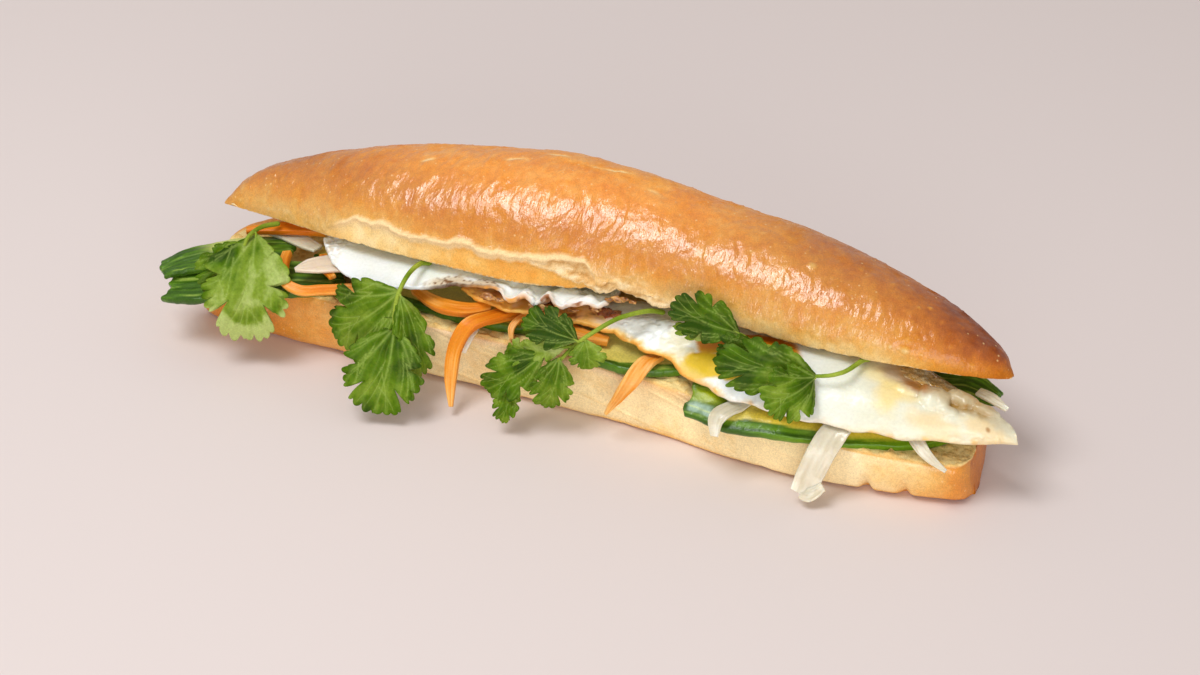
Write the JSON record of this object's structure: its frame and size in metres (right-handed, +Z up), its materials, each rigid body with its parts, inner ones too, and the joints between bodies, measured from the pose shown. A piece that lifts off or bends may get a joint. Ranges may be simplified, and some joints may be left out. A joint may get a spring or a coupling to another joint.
{
  "type": "banh mi sandwich",
  "caption": "Split crusty roll hinged along its back, filled with fried egg, cucumber slices, carrot and daikon shreds and sprigs of cilantro.",
  "frame": {"origin": "on the surface that the roll lies on, under the middle of the sandwich's bounding box", "axes": "+X along the roll towards the end where the crumb shows, -Y towards the open front where the filling hangs out, +Z up"},
  "size_m": [0.2826, 0.0886, 0.0687],
  "materials": {
    "crust": "golden brown baked crust with a soft sheen, cream where it is torn",
    "cucumber": "wet, dark green skin and pale green flesh",
    "carrot": "moist orange",
    "daikon": "moist, translucent white",
    "egg": "set white with a runny yellow yolk and crisp brown edges",
    "cilantro": "fresh green leaf, satin"
  },
  "bodies": {
    "root": {"bread_roll": "crust", "cucumber_left_lower": "cucumber", "cucumber_left_upper": "cucumber", "cucumber_left_inner": "cucumber", "cucumber_middle": "cucumber", "cucumber_centre": "cucumber", "cucumber_right": "cucumber", "cucumber_right_end": "cucumber", "carrot_left_top": "carrot", "carrot_left_bent": "carrot", "carrot_left_short": "carrot", "carrot_middle_flat": "carrot", "carrot_hanging": "carrot", "carrot_middle_cross": "carrot", "carrot_thin": "carrot", "carrot_centre_flat": "carrot", "carrot_pointed": "carrot", "daikon_left_top": "daikon", "daikon_left_tip": "daikon", "daikon_right_folded": "daikon", "daikon_wide": "daikon", "daikon_thin": "daikon", "daikon_end": "daikon", "egg_left": "egg", "egg_right": "egg", "cilantro_left_end": "cilantro", "cilantro_left": "cilantro", "cilantro_centre": "cilantro", "cilantro_right_upper": "cilantro", "cilantro_right_lower": "cilantro"}
  },
  "joints": []
}
